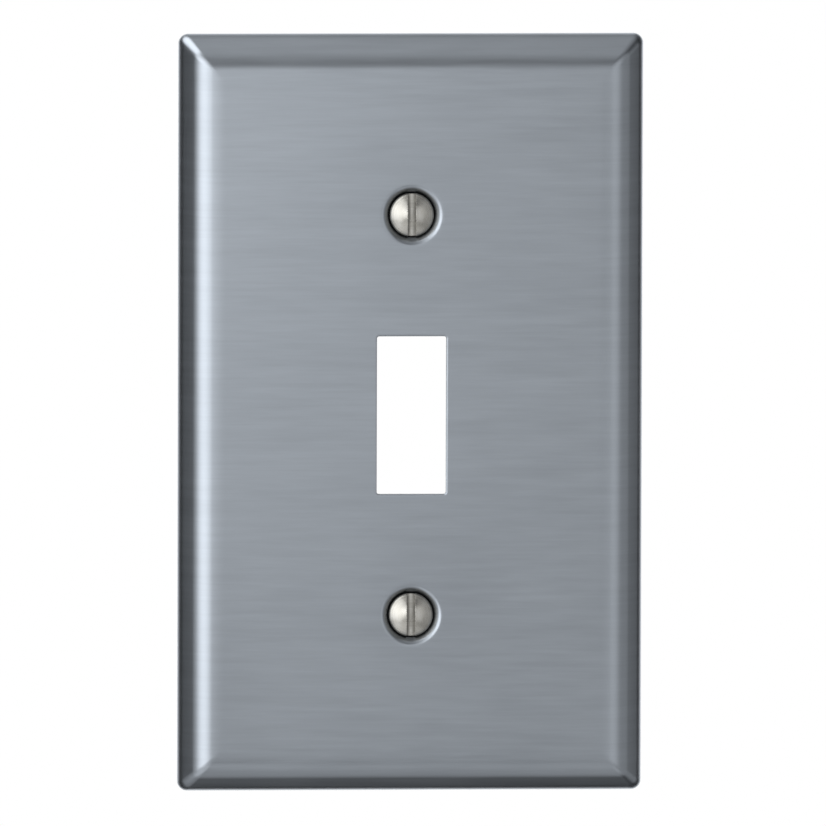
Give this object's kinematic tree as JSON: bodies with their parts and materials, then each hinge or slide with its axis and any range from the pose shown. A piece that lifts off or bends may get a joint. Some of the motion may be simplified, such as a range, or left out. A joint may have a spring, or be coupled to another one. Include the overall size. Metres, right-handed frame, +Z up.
{
  "type": "toggle switch wall plate",
  "caption": "Flanged brushed steel wall plate with a rectangular opening for a toggle lever, dimpled screw holes and captive slotted oval head screws.",
  "frame": {"origin": "middle of the plate in the plane of the wall, where the strap of the switch holds it", "axes": "+Z up the wall, +X to the right seen from the room, -Y out into the room, +Y into the wall along the screws"},
  "size_m": [0.0698, 0.0138, 0.1142],
  "materials": {
    "brushed_stainless": "satin, fine grain running across the width",
    "nickel_screw": "nickel plated, turned",
    "nylon": "natural nylon, satin"
  },
  "bodies": {
    "plate": {"wall_plate": "brushed_stainless"},
    "upper_retainer": {"upper_screw_retainer": "nylon"},
    "upper_fastener": {"upper_screw": "nickel_screw"},
    "lower_retainer": {"lower_screw_retainer": "nylon"},
    "lower_fastener": {"lower_screw": "nickel_screw"}
  },
  "joints": [
    {"name": "upper_screw_float", "type": "slide", "parent": "plate", "child": "upper_retainer", "axis": [0, -1, 0], "range_m": [0, 0.0022]},
    {"name": "upper_screw_turn", "type": "hinge", "parent": "upper_retainer", "child": "upper_fastener", "pos_m": [0, 0, 0.03016], "axis": [0, -1, 0], "continuous": true},
    {"name": "lower_screw_float", "type": "slide", "parent": "plate", "child": "lower_retainer", "axis": [0, -1, 0], "range_m": [0, 0.0022]},
    {"name": "lower_screw_turn", "type": "hinge", "parent": "lower_retainer", "child": "lower_fastener", "pos_m": [0, 0, -0.03016], "axis": [0, -1, 0], "continuous": true}
  ]
}
